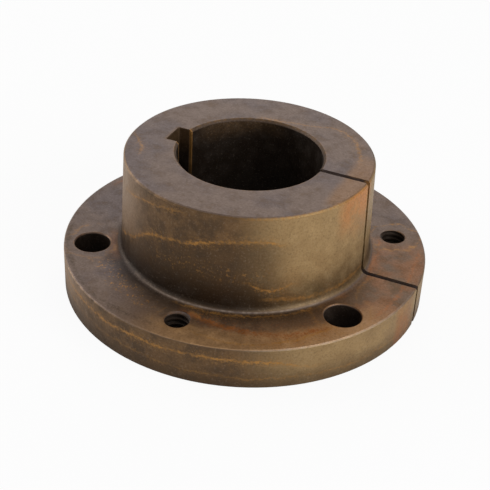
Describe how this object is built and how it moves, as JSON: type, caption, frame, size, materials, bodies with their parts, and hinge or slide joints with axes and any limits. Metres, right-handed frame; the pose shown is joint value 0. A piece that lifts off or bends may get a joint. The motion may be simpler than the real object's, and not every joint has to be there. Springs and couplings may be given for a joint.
{
  "type": "taper bush",
  "caption": "Flanged split taper bush: its tapered barrel is drawn into a matching hub and closes its keyed bore on a shaft.",
  "frame": {"origin": "centre of the flange's flat back face, on the axis of the bore", "axes": "+Z along the bore from the flange to the barrel's nose, +X along the slit, keyseat on -X"},
  "size_m": [0.081, 0.081, 0.0318],
  "materials": {
    "oxidised_iron": "machined and dark oxidised, brown, with light rust stains"
  },
  "bodies": {
    "root": {"taper_bush": "oxidised_iron"}
  },
  "joints": []
}
